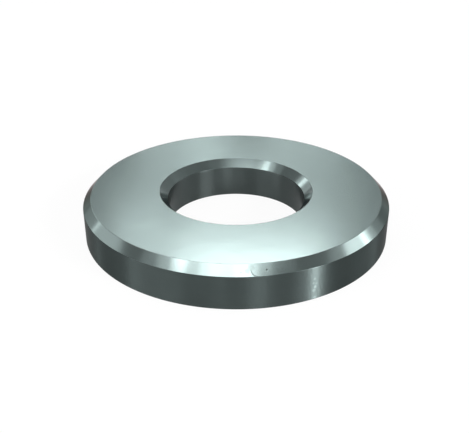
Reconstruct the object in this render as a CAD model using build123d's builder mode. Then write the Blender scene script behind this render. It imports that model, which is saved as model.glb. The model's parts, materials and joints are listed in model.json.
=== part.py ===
from build123d import *
import os

# Thick flat washer, turned from steel bar as one ring about +Z.
# It lies on its plain lower face at z = 0, and the origin is the centre of that face.
# The upper face takes the nut or bolt head. It has a 45 degree chamfer round the rim and
# another at the mouth of the bore, and the lower corners are left square.

# Driving dimensions, in millimetres
outer_diameter = 37.7
bore_diameter = 17.0  # clearance hole for a 16 mm bolt
thickness = 5.0
rim_chamfer = 1.0  # leg of the 45 degree chamfer round the upper rim
bore_chamfer = 1.0  # leg of the 45 degree chamfer at the mouth of the bore
edge_break = 0.08  # small radius that deburring leaves on every corner

# Stations of the half section, measured from the axis and up from the lower face
rim_radius = outer_diameter / 2
bore_radius = bore_diameter / 2
face_outer_radius = rim_radius - rim_chamfer
face_inner_radius = bore_radius + bore_chamfer
rim_shoulder = thickness - rim_chamfer
bore_shoulder = thickness - bore_chamfer

# Flat washer: the half section, with its corners broken, turned about the axis
with BuildPart() as flat_washer:
    with BuildSketch(Plane.XZ) as half_section:
        with BuildLine():
            Polyline(
                (bore_radius, 0),
                (rim_radius, 0),
                (rim_radius, rim_shoulder),
                (face_outer_radius, thickness),
                (face_inner_radius, thickness),
                (bore_radius, bore_shoulder),
                close=True,
            )
        make_face()
        fillet(half_section.vertices(), radius=edge_break)
    revolve(axis=Axis.Z)

flat_washer.part.label = "flat_washer"

os.makedirs("parts", exist_ok=True)
export_step(flat_washer.part, "parts/flat_washer.step")

print("faces", len(flat_washer.faces()))
print("volume in cubic millimetres", round(flat_washer.part.volume, 2))
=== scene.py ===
"""Looks of a thick flat steel washer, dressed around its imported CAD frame.

The washer lies on a pale studio floor at z = 0, with its axis along +Z. Lengths are metres and angles
are degrees, unless a name or comment says otherwise. Azimuth 0 is the camera's side of the washer,
along -Y, and azimuths grow towards +X.
"""

import json
import logging
import math
from dataclasses import dataclass, replace
from enum import Enum
from typing import Any

import bpy
import numpy as np
from mathutils import Euler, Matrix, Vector


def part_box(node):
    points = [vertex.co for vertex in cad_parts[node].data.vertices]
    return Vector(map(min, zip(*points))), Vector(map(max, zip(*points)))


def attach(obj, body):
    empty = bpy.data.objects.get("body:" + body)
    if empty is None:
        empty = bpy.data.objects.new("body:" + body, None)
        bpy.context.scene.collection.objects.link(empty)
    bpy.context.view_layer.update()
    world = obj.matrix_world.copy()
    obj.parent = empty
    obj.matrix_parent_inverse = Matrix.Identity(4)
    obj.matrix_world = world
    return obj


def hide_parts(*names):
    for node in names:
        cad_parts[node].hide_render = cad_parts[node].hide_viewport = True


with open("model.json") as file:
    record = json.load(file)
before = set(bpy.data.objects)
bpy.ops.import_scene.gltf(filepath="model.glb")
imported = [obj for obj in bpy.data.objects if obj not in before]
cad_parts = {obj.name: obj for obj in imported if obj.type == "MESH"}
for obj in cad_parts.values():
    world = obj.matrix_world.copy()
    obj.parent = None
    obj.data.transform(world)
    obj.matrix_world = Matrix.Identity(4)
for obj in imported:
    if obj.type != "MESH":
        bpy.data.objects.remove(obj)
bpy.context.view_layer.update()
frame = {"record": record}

LOG = logging.getLogger("washer")
MM = 0.001
WHITE = (1.0, 1.0, 1.0, 1.0)

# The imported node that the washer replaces, with the outer radius and thickness from its box
CAD_NODE = "flat_washer"
cad_low, cad_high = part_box(CAD_NODE)
RIM_RADIUS = cad_high.x
THICKNESS = cad_high.z - cad_low.z
# Leg of both 45 degree chamfers, as in the CAD
CHAMFER = 1.0 * MM


def compass(azimuth: float, elevation: float) -> Vector:
    """Unit vector towards a direction seen from the washer.

    Args:
        azimuth: Angle round the axis, 0 towards the camera's side and growing towards +X.
        elevation: Angle above the floor.

    Returns:
        (cos e sin a, -cos e cos a, sin e).
    """
    a = math.radians(azimuth)
    e = math.radians(elevation)
    return Vector((math.cos(e) * math.sin(a), -math.cos(e) * math.cos(a), math.sin(e)))


class Number:
    """A number that a shader works out, with Python's operators for its Math nodes."""

    def __init__(self, bench: "NodeBench", socket: bpy.types.NodeSocket) -> None:
        """Wraps one output socket of a node."""
        self.bench = bench
        self.socket = socket

    def __add__(self, other: "Number | float") -> "Number":
        """Sum of the two."""
        return self.bench.math("ADD", self, other)

    def __radd__(self, other: float) -> "Number":
        """Sum of the two, with the number first."""
        return self.bench.math("ADD", other, self)

    def __sub__(self, other: "Number | float") -> "Number":
        """This less the other."""
        return self.bench.math("SUBTRACT", self, other)

    def __rsub__(self, other: float) -> "Number":
        """The other less this."""
        return self.bench.math("SUBTRACT", other, self)

    def __mul__(self, other: "Number | float") -> "Number":
        """Product of the two."""
        return self.bench.math("MULTIPLY", self, other)

    def __rmul__(self, other: float) -> "Number":
        """Product of the two, with the number first."""
        return self.bench.math("MULTIPLY", other, self)

    def __pow__(self, power: float) -> "Number":
        """This raised to a power."""
        return self.bench.math("POWER", self, power)

    def __rpow__(self, base: float) -> "Number":
        """A number raised to this."""
        return self.bench.math("POWER", base, self)


class NodeBench:
    """Builds one node tree, a node at a time."""

    # How strong each finer layer of a noise is, as a share of the one before
    LAYER_SHARE = 0.5

    def __init__(self, tree: bpy.types.NodeTree) -> None:
        """Empties the tree."""
        self.tree = tree
        self.tree.nodes.clear()

    def node(
        self,
        kind: str,
        settings: dict[str, Any] | None = None,
        sockets: dict[str, Any] | None = None,
    ) -> bpy.types.Node:
        """Adds one node.

        Args:
            kind: The node's type, such as "ShaderNodeBump".
            settings: Its properties, which are set before its sockets.
            sockets: A value, a socket or a Number for each input, by identifier or name.

        Returns:
            The new node.
        """
        made = self.tree.nodes.new(kind)
        for name, value in (settings or {}).items():
            setattr(made, name, value)
        for name, value in (sockets or {}).items():
            entry = next(s for s in made.inputs if name in (s.identifier, s.name))
            source = value.socket if isinstance(value, Number) else value
            if isinstance(source, bpy.types.NodeSocket):
                self.tree.links.new(source, entry)
            else:
                entry.default_value = source
        return made

    def math(self, operation: str, *values: "Number | float") -> Number:
        """Works out a number with a Math node.

        Args:
            operation: The node's operation, such as "ADD".
            values: One, two or three values.

        Returns:
            The node's result.
        """
        sockets = dict(zip(("Value", "Value_001", "Value_002"), values))
        made = self.node("ShaderNodeMath", {"operation": operation}, sockets)
        return Number(self, made.outputs["Value"])

    def step(self, value: Number, start: float, end: float) -> Number:
        """Smooth step of a value.

        Args:
            value: The number that rises or falls.
            start: Where the step is still 0.
            end: Where the step is 1, above or below start.

        Returns:
            A number from 0 to 1.
        """
        low, high = min(start, end), max(start, end)
        sockets = {
            "Value": value,
            "From Min": low,
            "From Max": high,
            "To Min": 0.0 if start < end else 1.0,
            "To Max": 1.0 if start < end else 0.0,
        }
        made = self.node("ShaderNodeMapRange", {"interpolation_type": "SMOOTHSTEP"}, sockets)
        return Number(self, made.outputs["Result"])

    def noise(self, place: bpy.types.NodeSocket, size: float, layers: float) -> Number:
        """Cloudy noise, centred on zero.

        Args:
            place: The point, as a vector in metres.
            size: How far apart its patches are.
            layers: How many finer layers it has.

        Returns:
            A number from about -0.5 to 0.5.
        """
        sockets = {"Vector": place, "Scale": 1 / size, "Detail": layers, "Roughness": self.LAYER_SHARE}
        made = self.node("ShaderNodeTexNoise", {"noise_dimensions": "3D"}, sockets)
        return Number(self, made.outputs["Fac"]) - 0.5

    def vector(self, x: Number | float, y: Number | float, z: Number | float) -> bpy.types.NodeSocket:
        """Vector with the three given parts."""
        return self.node("ShaderNodeCombineXYZ", None, {"X": x, "Y": y, "Z": z}).outputs["Vector"]

    def arrow(self, operation: str, first: Any, second: Any) -> bpy.types.NodeSocket:
        """Vector that a Vector Math node makes from two vectors."""
        sockets = {"Vector": first, "Vector_001": second}
        return self.node("ShaderNodeVectorMath", {"operation": operation}, sockets).outputs["Vector"]

    def measure(self, operation: str, *vectors: Any) -> Number:
        """Works out a number with a Vector Math node.

        Args:
            operation: The node's operation, such as "LENGTH" or "DOT_PRODUCT".
            vectors: One or two vectors.

        Returns:
            The node's result.
        """
        sockets = dict(zip(("Vector", "Vector_001"), vectors))
        made = self.node("ShaderNodeVectorMath", {"operation": operation}, sockets)
        return Number(self, made.outputs["Value"])

    def blend(self, share: Number | float, first: Any, second: Any) -> bpy.types.NodeSocket:
        """Colour between two colours.

        Args:
            share: 0 for the first colour and 1 for the second.
            first: A colour or a colour socket.
            second: A colour or a colour socket.

        Returns:
            The socket of the mixed colour.
        """
        sockets = {"Factor_Float": share, "A_Color": first, "B_Color": second}
        made = self.node("ShaderNodeMix", {"data_type": "RGBA", "clamp_factor": True}, sockets)
        return next(s for s in made.outputs if s.identifier == "Result_Color")


# A bright mark is a painted glint: lighter colour that stands in for sparkle in a reflection
@dataclass(frozen=True)
class Mark:
    """A small mark on the steel, dark or bright: a spot, or a thin bow.

    Attributes:
        azimuth: Where its middle is round the axis.
        radius: How far its middle is from the axis.
        height: How high its middle is above the floor.
        size: How far it reaches from its middle.
        strength: How strong it is, from 0 to 1.
        line: How far a bow's line reaches to either side of it. A spot has none.
        turn: How far the top of a bow is turned down from the left.
    """

    azimuth: float
    radius: float
    height: float
    size: float
    strength: float
    line: float = 0.0
    turn: float = 0.0

    # A spot is at full strength within this share of its size, and a bow within this share of its line
    SPOT_CORE = 0.35
    LINE_CORE = 0.2
    # How far out towards the top of a bow it begins and is at full strength, as shares of its size
    BOW_END = 0.45
    BOW_FULL = 0.9

    @classmethod
    def on_face(cls, azimuth: float, radius: float, size: float, strength: float) -> "Mark":
        """Spot on the upper face."""
        return cls(azimuth, radius, THICKNESS, size, strength)

    @classmethod
    def on_wall(cls, azimuth: float, height: float, size: float, strength: float) -> "Mark":
        """Spot on the outer wall."""
        return cls(azimuth, RIM_RADIUS, height, size, strength)

    @classmethod
    def on_chamfer(cls, azimuth: float, inset: float, size: float, strength: float) -> "Mark":
        """Spot on the rim chamfer, at an inset from the outer wall."""
        return cls(azimuth, RIM_RADIUS - inset, THICKNESS - CHAMFER + inset, size, strength)

    @property
    def centre(self) -> Vector:
        """Middle of the mark."""
        return compass(self.azimuth, 0) * self.radius + Vector((0, 0, self.height))

    def cover(self, bench: NodeBench, place: bpy.types.NodeSocket) -> Number:
        """Works out how far the mark covers a point.

        A spot fades out with the distance from its middle. A bow is the arc of a circle round its
        middle that lies to the left, at smaller azimuths, or lower if it is turned. It fades out to
        both sides of its line and towards both ends.

        Args:
            bench: The tree to build in.
            place: The point, in metres.

        Returns:
            A number from 0 to the mark's strength.
        """
        away = bench.arrow("SUBTRACT", place, self.centre)
        distance = bench.measure("LENGTH", away)
        if not self.line:
            return bench.step(distance, self.size, self.SPOT_CORE * self.size) * self.strength
        turn = math.radians(self.turn)
        left = -compass(self.azimuth + 90, 0)
        down = (compass(self.azimuth, 0) - Vector((0, 0, 1))).normalized()
        onward = bench.measure("DOT_PRODUCT", away, left * math.cos(turn) + down * math.sin(turn))
        off_line = bench.math("ABSOLUTE", distance - self.size)
        bow = bench.step(off_line, self.line, self.LINE_CORE * self.line)
        ends = bench.step(onward, self.BOW_END * self.size, self.BOW_FULL * self.size)
        return bow * ends * self.strength


@dataclass(frozen=True)
class SteelFinish:
    """One finish of the washer's steel.

    Attributes:
        name: The material's name.
        reflectance: Share of green light that the clean steel sends back, seen straight on.
        roughness: How satin it is.
        edge_tint: How bright each colour stays just short of grazing angles, where 1 is plain metal.
        brushing: How far highlights stretch across the turning marks, from 0 to 1.
        ring_pitch: Spacing of the turning marks.
        ring_depth: Depth of the turning marks.
        grain_size: Size of the surface's fine grain.
        grain_depth: Depth of that grain.
        mottle: How far the reflectance wanders from patch to patch, as a share of itself.
        metal: How much of it is bare metal, from 0 to 1. The rest is dull, in the same colour.
        marks: Dark marks on this finish.
        painted_glints: Small bright spots painted into the colour of this finish, standing in for
            glints in its reflection.
    """

    name: str
    reflectance: float
    roughness: float
    edge_tint: tuple[float, float, float]
    brushing: float
    ring_pitch: float
    ring_depth: float
    grain_size: float
    grain_depth: float
    mottle: float
    metal: float = 1.0
    marks: tuple[Mark, ...] = ()
    painted_glints: tuple[Mark, ...] = ()

    # Cool grey steel: reflectance in red and blue as a share of green
    HUE = (0.80, 1.0, 0.98)
    # A quarter turn lays the wide side of a highlight across the turning marks
    ACROSS_THE_MARKS = 0.25
    # Size of the soft patches of colour
    PATCH = 2.2 * MM
    # Finer layers of noise in the turning marks, the grain and the patches
    RING_LAYERS = 3.0
    GRAIN_LAYERS = 1.0
    PATCH_LAYERS = 3.0
    # How strongly the colour follows the patches and the turning marks, round a middle value
    PATCH_SWAY = 1.6
    RING_SWAY = 0.4
    MIDDLE = 0.5
    # Colours of a mark and of a painted glint, as shares of the clean steel
    MARK_SHADE = 0.15
    GLINT_SHADE = 1.8
    # How far roughness follows the patches, and how much a mark adds to it
    ROUGHNESS_SWING = 0.10
    MARK_ROUGHNESS = 0.2

    def colour(self, share: float) -> tuple[float, float, float, float]:
        """Linear colour at a share of the clean reflectance."""
        return (*(self.reflectance * share * part for part in self.HUE), 1.0)

    def material(self) -> bpy.types.Material:
        """Makes the finish as a material on Object coordinates.

        The turning marks are noise over the radius and the height alone, so they run right round the
        ring. The grain and the patches are noise over the point itself.

        Returns:
            The material.
        """
        made = bpy.data.materials.new(self.name)
        made.use_nodes = True
        bench = NodeBench(made.node_tree)
        place = bench.node("ShaderNodeTexCoord").outputs["Object"]
        parts = bench.node("ShaderNodeSeparateXYZ", None, {"Vector": place})
        x, y, z = (Number(bench, parts.outputs[axis]) for axis in "XYZ")
        radius = (x * x + y * y) ** 0.5
        rings = bench.noise(bench.vector(radius, z, 0.0), self.ring_pitch, self.RING_LAYERS)
        grain = bench.noise(place, self.grain_size, self.GRAIN_LAYERS)
        patches = bench.noise(place, self.PATCH, self.PATCH_LAYERS)
        darkening = sum((mark.cover(bench, place) for mark in self.marks), 0.0)
        # Cover of the painted glints: bright spots that stand in for sparkle in the reflection
        bare = sum((glint.cover(bench, place) for glint in self.painted_glints), 0.0)

        height = rings * self.ring_depth + grain * self.grain_depth
        bump = bench.node("ShaderNodeBump", None, {"Strength": 1.0, "Distance": 1.0, "Height": height})
        tint = patches * self.PATCH_SWAY + rings * self.RING_SWAY + self.MIDDLE
        clean = bench.blend(tint, self.colour(1 - self.mottle), self.colour(1 + self.mottle))
        marked = bench.blend(darkening, clean, self.colour(self.MARK_SHADE))
        colour = bench.blend(bare, marked, self.colour(self.GLINT_SHADE))
        satin = (1 - patches * self.ROUGHNESS_SWING) * self.roughness
        roughness = satin + darkening * self.MARK_ROUGHNESS
        steel = bench.node(
            "ShaderNodeBsdfPrincipled",
            {"distribution": "GGX"},
            {
                "Base Color": colour,
                "Metallic": self.metal,
                "Roughness": roughness,
                "Normal": bump.outputs["Normal"],
                "Specular Tint": (*self.edge_tint, 1.0),
                "Anisotropic": self.brushing,
                "Anisotropic Rotation": self.ACROSS_THE_MARKS,
            },
        )
        bench.node("ShaderNodeOutputMaterial", None, {"Surface": steel.outputs["BSDF"]})
        return made


class Zone(Enum):
    """The ring's six surfaces, in the order in which its section is walked round."""

    LOWER_FACE = 0
    RIM = 1
    RIM_CHAMFER = 2
    UPPER_FACE = 3
    BORE_CHAMFER = 4
    BORE = 5


@dataclass(frozen=True)
class Section:
    """Half section of the ring, with every corner broken by a small radius.

    Neighbouring zones share the corner between them evenly, except that each dark wall takes the whole
    of the corner below its chamfer, and the upper face the whole of its outer corner.

    Attributes:
        rim_radius: Outer radius.
        bore_radius: Radius of the bore.
        thickness: Height of the upper face.
        chamfer: Leg of both 45 degree chamfers.
        edge_break: Radius of each corner.
        corner_facets: Facets round each corner, an even number.
    """

    rim_radius: float
    bore_radius: float
    thickness: float
    chamfer: float = CHAMFER
    edge_break: float = 0.08 * MM
    corner_facets: int = 6

    # How far apart rows of vertices are on a plain surface, and on the one with the pit
    ROW_SPACING = 0.6 * MM
    FINE_SPACING = 0.03 * MM
    # Share of a corner that the side before it takes, by the side after it, where it isn't half
    UNEVEN_CORNERS = {Zone.RIM_CHAMFER: 1.0, Zone.UPPER_FACE: 0.0, Zone.BORE: 0.0}

    def corners(self) -> np.ndarray:
        """Lists the sharp corners, walked outwards along the lower face first.

        Returns:
            Radius and height of the corner before each zone.
        """
        return np.array(
            [
                (self.bore_radius, 0),
                (self.rim_radius, 0),
                (self.rim_radius, self.thickness - self.chamfer),
                (self.rim_radius - self.chamfer, self.thickness),
                (self.bore_radius + self.chamfer, self.thickness),
                (self.bore_radius, self.thickness - self.chamfer),
            ]
        )

    def rows(self) -> tuple[np.ndarray, np.ndarray, np.ndarray]:
        """Walks once round the section.

        A corner is an arc about the point one edge break inside both of its sides: point = centre +
        edge break * normal, while the normal turns evenly from one side's to the next's. Between two
        corners the points are evenly spaced and keep the side's normal.

        Returns:
            The points and their normals, each as radius and height, and the zone number of the
            stretch that follows each point. The last point is followed by the first.
        """
        corners = self.corners()
        sides = np.roll(corners, -1, axis=0) - corners
        lengths = np.linalg.norm(sides, axis=1)
        along = sides / lengths[:, None]
        outward = np.stack([along[:, 1], -along[:, 0]], axis=1)
        arcs, side_starts = [], []
        for k in range(len(corners)):
            before, after = outward[k - 1], outward[k]
            split = self.UNEVEN_CORNERS.get(Zone(k), 0.5)
            turn = math.acos(float(np.clip(before @ after, -1, 1)))
            setback = self.edge_break * math.tan(turn / 2)
            centre = corners[k] - along[k - 1] * setback - before * self.edge_break
            angles = math.atan2(before[1], before[0]) + turn * np.linspace(0, 1, self.corner_facets + 1)
            arc = np.stack([np.cos(angles), np.sin(angles)], axis=1)
            first = round(split * self.corner_facets)
            owners = [k - 1] * first + [k] * (self.corner_facets - first)
            arcs.append((centre + self.edge_break * arc, arc, owners))
            side_starts.append(corners[k] + along[k] * setback)
        points, normals, zones = [], [], []
        for k, (arc_points, arc_normals, arc_zones) in enumerate(arcs):
            next_arc_points = arcs[(k + 1) % len(arcs)][0]
            side = next_arc_points[0] - side_starts[k]
            spacing = self.FINE_SPACING if Zone(k) is Zone.RIM_CHAMFER else self.ROW_SPACING
            count = max(2, round(float(np.linalg.norm(side)) / spacing))
            shares = np.linspace(0, 1, count, endpoint=False)[1:, None]
            points += [arc_points, side_starts[k] + side * shares]
            normals += [arc_normals, np.tile(outward[k], (count - 1, 1))]
            zones += [np.array(arc_zones) % len(corners), np.full(count, k)]
        return np.concatenate(points), np.concatenate(normals), np.concatenate(zones)


@dataclass(frozen=True)
class Pit:
    """A small dent, sunk into the surface along its normal.

    Attributes:
        mark: Where the dent is, and how far it reaches.
        depth: How deep it is in the middle.
    """

    mark: Mark
    depth: float

    def sink(self, points: np.ndarray, normals: np.ndarray) -> tuple[np.ndarray, np.ndarray]:
        """Sinks the dent into a surface.

        With q the distance from the middle over the dent's reach, the surface drops by
        depth * exp(-q^4), and its normal leans towards the middle by the slope of that drop, which is
        -4 * q^2 / reach^2 * drop times the way from the middle.

        Args:
            points: Vertices of the surface.
            normals: Their unit normals.

        Returns:
            The moved vertices and their new unit normals.
        """
        away = points - np.array(self.mark.centre)
        square = (away**2).sum(axis=1) / self.mark.size**2
        drop = self.depth * np.exp(-(square**2))
        slope = -4 * square / self.mark.size**2 * drop
        lean = away - (away * normals).sum(axis=1)[:, None] * normals
        leaned = normals + slope[:, None] * lean
        return points - drop[:, None] * normals, leaned / np.linalg.norm(leaned, axis=1)[:, None]


# Each mark's azimuth and place on its surface come first, then its size and strength
RIM_PIT = Pit(Mark.on_chamfer(9.92, 0.45 * MM, 0.10 * MM, 1.0), depth=0.004 * MM)
FACE_SPECKS = (
    Mark.on_face(14.2, 14.57 * MM, 0.11 * MM, 0.32),
    Mark.on_face(29.5, 15.36 * MM, 0.14 * MM, 0.3),
)
# A scuff that bows to the left of the pit
CHAMFER_SCUFF = replace(Mark.on_chamfer(7.06, 0.50 * MM, 0.70 * MM, 0.36), line=0.12 * MM, turn=50.0)
# The pit, darkened in colour, a speck, the scuff, and two faint smudges beside it
CHAMFER_MARKS = (
    RIM_PIT.mark,
    Mark.on_chamfer(1.57, 0.35 * MM, 0.09 * MM, 0.3),
    CHAMFER_SCUFF,
    Mark.on_chamfer(3.5, 0.45 * MM, 0.36 * MM, 0.12),
    Mark.on_chamfer(4.9, 0.70 * MM, 0.48 * MM, 0.12),
)
# Painted glints down the wall's bright streak, from the chamfer to the floor: bright spots in the
# colour that stand in for sparkle in its reflection
WALL_GLINTS = (
    Mark.on_wall(26.1, 2.60 * MM, 0.22 * MM, 0.50),
    Mark.on_wall(25.7, 2.08 * MM, 0.20 * MM, 0.50),
    Mark.on_wall(26.8, 1.98 * MM, 0.20 * MM, 0.35),
    Mark.on_wall(26.4, 1.58 * MM, 0.24 * MM, 0.80),
    Mark.on_wall(26.0, 1.18 * MM, 0.28 * MM, 0.65),
    Mark.on_wall(26.4, 0.24 * MM, 0.22 * MM, 0.70),
)

TURNED_FACE = SteelFinish(
    name="turned_steel_face",
    reflectance=0.57,
    roughness=0.20,
    edge_tint=(0.5, 0.5, 0.5),
    brushing=0.0,
    ring_pitch=0.22 * MM,
    ring_depth=0.0005 * MM,
    grain_size=0.5 * MM,
    grain_depth=0.0004 * MM,
    mottle=0.04,
    marks=FACE_SPECKS,
)
# Partly painted shade: the chamfers' cut finish is real, but their reflectance, lower than the face's,
# and the rim chamfer's dim edge tint darken them where they mirror the pale floor
CUT_CHAMFER = SteelFinish(
    name="cut_steel_chamfer",
    reflectance=0.33,
    roughness=0.13,
    edge_tint=(0.25, 0.215, 0.21),
    brushing=0.3,
    ring_pitch=0.20 * MM,
    ring_depth=0.0002 * MM,
    grain_size=0.4 * MM,
    grain_depth=0.0002 * MM,
    mottle=0.03,
    marks=CHAMFER_MARKS,
)
# Painted shade: the wall's reflectance, far below the face's, stands in for dark surroundings that the
# steel wall would mirror, and darkens it under any light
PAINTED_SHADE_WALL = SteelFinish(
    name="steel_wall_painted_shade",
    reflectance=0.070,
    roughness=0.36,
    edge_tint=(0.5, 0.5, 0.5),
    brushing=1.0,
    ring_pitch=0.25 * MM,
    ring_depth=0.0004 * MM,
    grain_size=0.3 * MM,
    grain_depth=0.008 * MM,
    mottle=0.05,
    painted_glints=WALL_GLINTS,
)
# The mouth keeps the chamfer's lowered reflectance, which is partly painted shade
CUT_MOUTH = replace(
    CUT_CHAMFER,
    name="cut_steel_mouth",
    edge_tint=(0.9, 0.9, 0.9),
    ring_depth=0.0001 * MM,
    grain_depth=0.0001 * MM,
    metal=0.98,
    marks=(),
)
# Painted shade as on the wall, for the bore; its dull share lifts the darkest parts
PAINTED_SHADE_BORE = replace(
    PAINTED_SHADE_WALL,
    name="steel_bore_painted_shade",
    reflectance=0.068,
    edge_tint=(0.8, 0.8, 0.8),
    metal=0.70,
    painted_glints=(),
)


@dataclass(frozen=True)
class Washer:
    """The washer itself: one ring, turned from its half section.

    Attributes:
        section: Its half section.
        columns: Even steps round the axis, to which the finer ones beside the pit are added.
        pit: The dent on its rim chamfer.
    """

    section: Section
    columns: int = 360
    pit: Pit = RIM_PIT

    NAME = "washer_ring"
    FINISHES = {
        Zone.LOWER_FACE: TURNED_FACE,
        Zone.RIM: PAINTED_SHADE_WALL,
        Zone.RIM_CHAMFER: CUT_CHAMFER,
        Zone.UPPER_FACE: TURNED_FACE,
        Zone.BORE_CHAMFER: CUT_MOUTH,
        Zone.BORE: PAINTED_SHADE_BORE,
    }
    # Finer steps beside the pit: how far they reach either way, and how many there are
    FINE_REACH = 1.0
    FINE_STEPS = 33
    # Azimuths that agree to this many decimals are one column
    DECIMALS = 4
    # The unrolled map, where 1 is this many metres, and the gap between its charts
    MAP_SPAN = 78 * MM
    MAP_GAP = 0.8 * MM

    @classmethod
    def from_frame(cls, record: dict[str, Any]) -> "Washer":
        """Takes the washer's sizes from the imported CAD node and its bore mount.

        Args:
            record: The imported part's record.

        Returns:
            The washer at its CAD size.
        """
        bore = next(mount for mount in record["mounts"] if mount["kind"] == "bore")
        return cls(Section(RIM_RADIUS, bore["dims"]["r_mm"] * MM, THICKNESS))

    def azimuths(self) -> np.ndarray:
        """Spaces the columns evenly, with finer steps beside the pit.

        Returns:
            Azimuths in radians, from 0 up to but without a full turn.
        """
        even = np.arange(self.columns) * 360 / self.columns
        middle = self.pit.mark.azimuth
        fine = np.linspace(middle - self.FINE_REACH, middle + self.FINE_REACH, self.FINE_STEPS)
        return np.radians(np.unique(np.round(np.concatenate([even, fine]), self.DECIMALS)))

    @staticmethod
    def turned(half: np.ndarray, azimuths: np.ndarray) -> np.ndarray:
        """Carries the section round the axis.

        Radius r and height z become the point (r sin a, -r cos a, z) at azimuth a.

        Args:
            half: Radius and height of each row.
            azimuths: Azimuth of each column, in radians.

        Returns:
            A point for each row of the first column, then of the next, and so on.
        """
        spokes = np.stack([np.sin(azimuths), -np.cos(azimuths)], axis=1)
        flat = spokes[:, None, :] * half[None, :, 0, None]
        up = np.broadcast_to(half[None, :, 1, None], (len(azimuths), len(half), 1))
        return np.concatenate([flat, up], axis=2).reshape(-1, 3)

    def build(self) -> bpy.types.Object:
        """Turns the section into a closed mesh and dresses it.

        Returns:
            The ring, which rides on the body and stands for the CAD node.
        """
        stations, slants, zones = self.section.rows()
        azimuths = self.azimuths()
        points, normals = self.pit.sink(self.turned(stations, azimuths), self.turned(slants, azimuths))
        rows, columns = len(stations), len(azimuths)
        column, row = np.meshgrid(np.arange(columns), np.arange(rows), indexing="ij")
        round_on = np.stack([column, column + 1, column + 1, column], axis=-1).reshape(-1, 4)
        round_up = np.stack([row, row, row + 1, row + 1], axis=-1).reshape(-1, 4) % rows
        quads = round_on % columns * rows + round_up
        zone_of_quad = zones[row.ravel()]

        mesh = bpy.data.meshes.new(self.NAME)
        mesh.from_pydata(points.tolist(), [], quads.tolist())
        mesh.shade_smooth()
        self.dress(mesh, zone_of_quad)
        turns = np.append(azimuths, 2 * math.pi)[round_on]
        self.unroll(mesh, turns, stations[round_up], zone_of_quad)
        mesh.normals_split_custom_set_from_vertices(normals.tolist())
        mesh.validate()

        ring = bpy.data.objects.new(self.NAME, mesh)
        bpy.context.scene.collection.objects.link(ring)
        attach(ring, "root")
        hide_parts(CAD_NODE)
        return ring

    def dress(self, mesh: bpy.types.Mesh, zones: np.ndarray) -> None:
        """Gives each quad the finish of its zone.

        Args:
            mesh: The ring's mesh.
            zones: Zone number of each quad.
        """
        finishes = list(dict.fromkeys(self.FINISHES[zone] for zone in Zone))
        for finish in finishes:
            mesh.materials.append(finish.material())
        slot_of_zone = np.array([finishes.index(self.FINISHES[zone]) for zone in Zone])
        mesh.polygons.foreach_set("material_index", slot_of_zone[zones].astype(np.int32))

    def unroll(
        self,
        mesh: bpy.types.Mesh,
        turns: np.ndarray,
        stations: np.ndarray,
        zones: np.ndarray,
    ) -> None:
        """Gives the mesh a flat map at one scale.

        The faces and chamfers are two discs, seen along the axis. The rim is two strips and the bore
        one, each with the way round it across and the way up it upwards.

        Args:
            mesh: The ring's mesh.
            turns: Azimuth in radians of each corner of each quad, a full turn at the closing ones.
            stations: Radius and height of each corner of each quad.
            zones: Zone number of each quad.
        """
        radii, heights = stations.transpose(2, 0, 1)
        across = self.section.rim_radius + self.MAP_GAP
        rim_radius, bore_radius = self.section.rim_radius, self.section.bore_radius
        strip = self.section.thickness + self.MAP_GAP
        floor_line = 2 * across + self.MAP_GAP
        second_half = turns.mean(axis=1, keepdims=True) > math.pi
        zone = zones[:, None]
        below = zone == Zone.LOWER_FACE.value
        u = radii * np.sin(turns) + np.where(below, 3 * across, across)
        v = -radii * np.cos(turns) + across
        on_rim = zone == Zone.RIM.value
        u = np.where(on_rim, (turns - math.pi * second_half) * rim_radius + self.MAP_GAP, u)
        v = np.where(on_rim, floor_line + heights + second_half * strip, v)
        on_bore = zone == Zone.BORE.value
        u = np.where(on_bore, turns * bore_radius + self.MAP_GAP, u)
        v = np.where(on_bore, floor_line + heights + 2 * strip, v)
        layer = mesh.uv_layers.new(name="OFBake")
        layer.data.foreach_set("uv", (np.stack([u, v], axis=-1) / self.MAP_SPAN).ravel())


@dataclass(frozen=True)
class SoftBox:
    """A rectangular lamp that faces the washer.

    Attributes:
        name: The lamp's name.
        azimuth: Azimuth of its middle, seen from the washer.
        elevation: Elevation of its middle, seen from the washer.
        width: How wide it looks from the washer.
        height: How high it looks from the washer.
        glow: Its radiance, where 1 shows as white.
    """

    name: str
    azimuth: float
    elevation: float
    width: float
    height: float
    glow: float

    # How far every lamp stands from the washer
    DISTANCE = 2.0

    def build(self) -> bpy.types.Object:
        """Sets the lamp up: a panel of area A glows with radiance L at a power of pi * L * A.

        Returns:
            The lamp, which faces the washer.
        """
        data = bpy.data.lights.new(self.name, "AREA")
        data.shape = "RECTANGLE"
        data.size = 2 * self.DISTANCE * math.tan(math.radians(self.width / 2))
        data.size_y = 2 * self.DISTANCE * math.tan(math.radians(self.height / 2))
        data.energy = math.pi * self.glow * data.size * data.size_y
        lamp = bpy.data.objects.new(self.name, data)
        direction = compass(self.azimuth, self.elevation)
        lamp.location = direction * self.DISTANCE
        lamp.rotation_mode = "QUATERNION"
        lamp.rotation_quaternion = direction.to_track_quat("Z", "Y")
        bpy.context.scene.collection.objects.link(lamp)
        return lamp


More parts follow.
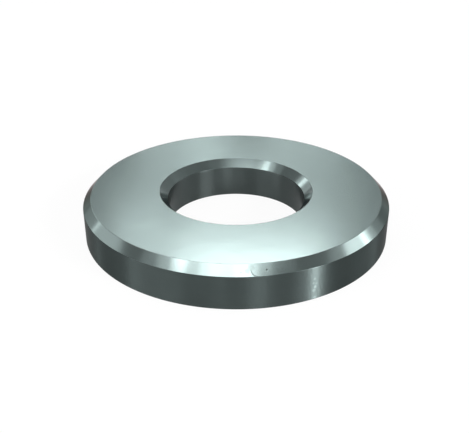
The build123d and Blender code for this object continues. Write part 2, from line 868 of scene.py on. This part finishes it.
@dataclass(frozen=True)
class Viewpoint:
    """The camera's place and lens.

    Attributes:
        distance: How far it is from the middle of the lower face.
        elevation: How high it stands, seen from there.
        pitch: How far it looks down.
        yaw: How far it looks to the left.
        lens: Focal length in millimetres.
    """

    distance: float = 90.99 * MM
    elevation: float = 28.58
    pitch: float = 28.02
    yaw: float = 0.144
    lens: float = 54.59

    # Width of the sensor in millimetres, and the nearest distance that it sees
    SENSOR_WIDTH = 36.0
    NEAREST = 1 * MM

    def build(self) -> bpy.types.Object:
        """Sets the camera up and makes it the scene's own.

        Returns:
            The camera.
        """
        data = bpy.data.cameras.new("camera")
        data.lens = self.lens
        data.sensor_width = self.SENSOR_WIDTH
        data.clip_start = self.NEAREST
        camera = bpy.data.objects.new("camera", data)
        camera.location = compass(0, self.elevation) * self.distance
        camera.rotation_euler = Euler((math.radians(90 - self.pitch), 0, math.radians(self.yaw)))
        bpy.context.scene.collection.objects.link(camera)
        bpy.context.scene.camera = camera
        return camera


@dataclass(frozen=True)
class Studio:
    """Pale floor, soft room light and the lamps round the washer.

    Attributes:
        lamps: The lamps.
        floor_radius: Radius of the floor.
        floor_white: Reflectance of the floor.
        floor_glow: Share of plain white in what camera, metal and glass see of the floor.
        zenith: Radiance of the room straight up.
        horizon: Radiance of the room near the horizon.
        skyline: Radiance added right at the horizon, where the white floor ends.
        skyline_fade: How fast that light fades upwards.
    """

    lamps: tuple[SoftBox, ...]
    floor_radius: float = 3.0
    floor_white: float = 0.95
    floor_glow: float = 0.92
    zenith: float = 0.21
    horizon: float = 0.34
    skyline: float = 0.46
    skyline_fade: float = 15.0

    # Points round the floor's edge
    FLOOR_POINTS = 96

    def build(self) -> None:
        """Builds the floor, the room and the lamps."""
        self.build_floor()
        self.build_room()
        for lamp in self.lamps:
            lamp.build()
        bpy.context.scene.view_settings.view_transform = "Standard"

    def build_floor(self) -> None:
        """Lays the floor as one round face with its edge at (R cos t, R sin t)."""
        turn = np.linspace(0, 2 * math.pi, self.FLOOR_POINTS, endpoint=False)
        rim = np.stack([np.cos(turn), np.sin(turn), np.zeros_like(turn)], axis=1) * self.floor_radius
        mesh = bpy.data.meshes.new("floor")
        mesh.from_pydata(rim.tolist(), [], [list(range(self.FLOOR_POINTS))])
        mesh.materials.append(self.floor_material())
        floor = bpy.data.objects.new("floor", mesh)
        bpy.context.scene.collection.objects.link(floor)

    def floor_material(self) -> bpy.types.Material:
        """Makes a pale matt floor that camera, glossy and transmission rays see as nearly white.

        Returns:
            The material.
        """
        made = bpy.data.materials.new("pale_floor")
        made.use_nodes = True
        bench = NodeBench(made.node_tree)
        path = bench.node("ShaderNodeLightPath")
        kinds = ("Is Camera Ray", "Is Glossy Ray", "Is Transmission Ray")
        camera, glossy, clear = (Number(bench, path.outputs[kind]) for kind in kinds)
        seen = bench.math("MINIMUM", camera + glossy + clear, 1.0)
        white = (self.floor_white, self.floor_white, self.floor_white, 1.0)
        matt = bench.node("ShaderNodeBsdfDiffuse", None, {"Color": white})
        glow = bench.node("ShaderNodeEmission", None, {"Color": WHITE, "Strength": 1.0})
        sockets = {
            "Fac": seen * self.floor_glow,
            "Shader": matt.outputs["BSDF"],
            "Shader_001": glow.outputs["Emission"],
        }
        surface = bench.node("ShaderNodeMixShader", None, sockets)
        bench.node("ShaderNodeOutputMaterial", None, {"Surface": surface.outputs["Shader"]})
        return made

    def build_room(self) -> None:
        """Lights the room, evenly all round.

        With s = 1 - sin elevation, its radiance is zenith + (horizon - zenith) * s + skyline *
        s^skyline_fade.
        """
        world = bpy.data.worlds.new("room")
        world.use_nodes = True
        bpy.context.scene.world = world
        bench = NodeBench(world.node_tree)
        direction = bench.node("ShaderNodeTexCoord").outputs["Generated"]
        parts = bench.node("ShaderNodeSeparateXYZ", None, {"Vector": direction})
        rise = bench.math("MAXIMUM", Number(bench, parts.outputs["Z"]), 0.0)
        low = 1 - rise
        room = low * (self.horizon - self.zenith) + self.zenith
        strength = room + low**self.skyline_fade * self.skyline
        light = bench.node("ShaderNodeBackground", None, {"Color": WHITE, "Strength": strength})
        bench.node("ShaderNodeOutputWorld", None, {"Surface": light.outputs["Background"]})


# Each lamp's azimuth and elevation come first, then its width and height, and its glow last. Most of
# these values weren't chosen by hand: a fit to the photo's brightness gave them, and they were rounded.
LAMPS = (
    # High in front, for the bright front of the rim chamfer and the far side of the mouth
    SoftBox("front_top_panel", -7, 61, 31, 11, 0.98),
    SoftBox("front_top_strip", 4, 62, 33, 9, 0.62),
    SoftBox("front_left_top_panel", -25, 58, 43, 11, 2.4),
    SoftBox("front_right_top_strip", 28, 57.5, 34, 4.5, 1.6),
    SoftBox("left_front_top_strip", -60, 54, 17, 8, 2.3),
    SoftBox("left_top_strip", -72, 51.5, 17, 14, 0.9),
    SoftBox("back_left_top_panel", -123, 52.5, 87, 8, 0.22),
    # Behind, where the face mirrors them
    SoftBox("back_strip", 178.5, 34.5, 13, 5, 4.4),
    SoftBox("back_panel", 159, 35, 90, 10, 0.05),
    SoftBox("back_left_fill", -170.5, 30, 4, 3.5, 2.1),
    SoftBox("back_right_fill", 176, 28, 15.5, 14.5, 0.2),
    SoftBox("back_low_spot", 180, 23.5, 8, 3, 0.7),
    SoftBox("back_left_spot", -175, 20.5, 7.5, 8, 0.82),
    SoftBox("back_right_spot", 173.5, 20.5, 6, 3, 1.5),
    # At the sides, for the ends of both chamfers
    SoftBox("left_panel", -78, 17, 84, 31, 0.82),
    SoftBox("back_left_panel", -127, 21.5, 15, 13.5, 0.7),
    SoftBox("back_left_low_panel", -137.5, 21.5, 16.5, 5, 2.1),
    SoftBox("left_back_low_strip", -135, 11, 32, 17, 0.43),
    SoftBox("right_top_panel", 71, 31.5, 90, 17.5, 0.47),
    SoftBox("right_panel", 99, 18.5, 19.5, 31, 1.75),
    SoftBox("right_spot", 111, 23.5, 10.5, 5, 2.2),
    SoftBox("right_back_low_panel", 113, 15.5, 47, 9.5, 0.32),
    # Low, for the upright bands on the dark wall
    SoftBox("right_streak", 54, 3, 2.5, 3, 880),
    SoftBox("front_low_strip", 15, 8.5, 11.5, 13, 12),
    SoftBox("front_low_panel", 15, 12.5, 58, 3, 6.4),
    SoftBox("left_low_panel", -41, 4, 69, 5, 6.5),
    SoftBox("left_low_strip", -72.5, 8, 9, 13, 7.0),
    SoftBox("left_low_spot", -109, 4, 4.5, 5, 26),
    SoftBox("right_low_spot", 109.5, 3.5, 9, 4, 25),
    # A little higher, for the bands in the dark bore
    SoftBox("front_mid_strip", 9, 14, 45, 12, 2.5),
    SoftBox("right_mid_strip", 54.5, 27, 20.5, 8.5, 30),
    SoftBox("left_mid_panel", -60, 21, 41, 12, 4.0),
    # Overhead, for the rounded edges, and for the face as seen from above
    SoftBox("overhead_panel", 180, 80, 28, 52, 1.3),
)


def main() -> None:
    """Builds the washer, its studio and the camera, and reports each of them."""
    logging.basicConfig(level=logging.INFO, format="%(message)s")
    ring = Washer.from_frame(frame["record"]).build()
    LOG.info("%s: %d vertices, %d quads", ring.name, len(ring.data.vertices), len(ring.data.polygons))
    studio = Studio(LAMPS)
    studio.build()
    LOG.info("studio: a floor, a room and %d lamps", len(studio.lamps))
    camera = Viewpoint().build()
    LOG.info("%s: %.1f mm from the washer", camera.name, camera.location.length / MM)


if __name__ == "__main__":
    main()
